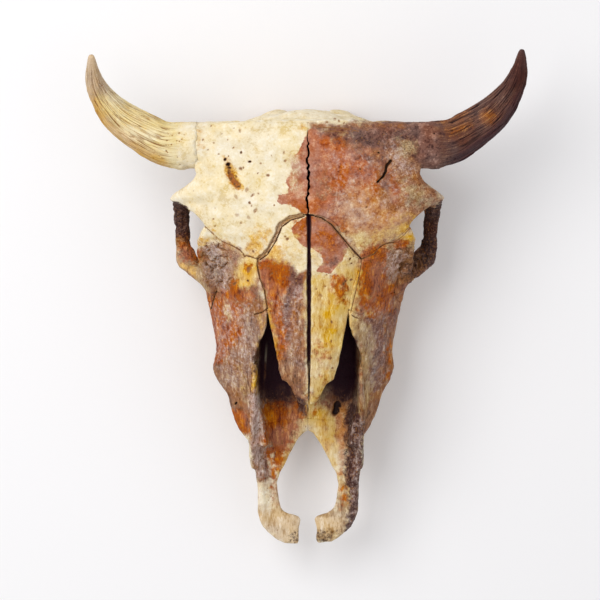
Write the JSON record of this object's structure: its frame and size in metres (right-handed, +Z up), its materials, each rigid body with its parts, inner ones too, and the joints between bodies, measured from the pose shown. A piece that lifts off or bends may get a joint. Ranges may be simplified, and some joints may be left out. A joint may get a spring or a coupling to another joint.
{
  "type": "bison skull",
  "caption": "life-size dry skull of an American bison without its lower jaw, with bare horn cores and cheek teeth, lying with the forehead up",
  "frame": {"origin": "on the floor, under the middle of the skull's bounding box", "axes": "+X to the animal's left, +Y to the back of the head, +Z up, out of the forehead"},
  "size_m": [0.4546, 0.5044, 0.1524],
  "materials": {
    "pale_bone": "dry cream bone with fine tan specks, matte",
    "stained_bone": "dry bone stained reddish brown in patches, matte",
    "face_bone": "weathered brown and ochre bone, rough in places, matte",
    "dark_bone": "bone stained dark brown, matte",
    "hidden_bone": "plain tan bone, matte",
    "horn_core": "straw brown grooved bone with pits, matte",
    "dark_horn_core": "dark brown grooved bone with pits, matte"
  },
  "bodies": {
    "root": {"frontal_left": "stained_bone", "frontal_right": "pale_bone", "horn_core_left": "dark_horn_core", "horn_core_right": "horn_core", "lacrimal_left": "face_bone", "lacrimal_right": "face_bone", "maxilla_left": "face_bone", "maxilla_right": "face_bone", "nasal_left": "pale_bone", "nasal_right": "pale_bone", "occipital": "hidden_bone", "palatine": "hidden_bone", "parietal": "pale_bone", "premaxilla_left": "face_bone", "premaxilla_right": "face_bone", "sphenoid": "hidden_bone", "temporal_left": "face_bone", "temporal_right": "face_bone", "vomer": "dark_bone", "zygomatic_left": "dark_bone", "zygomatic_right": "dark_bone"}
  },
  "joints": []
}
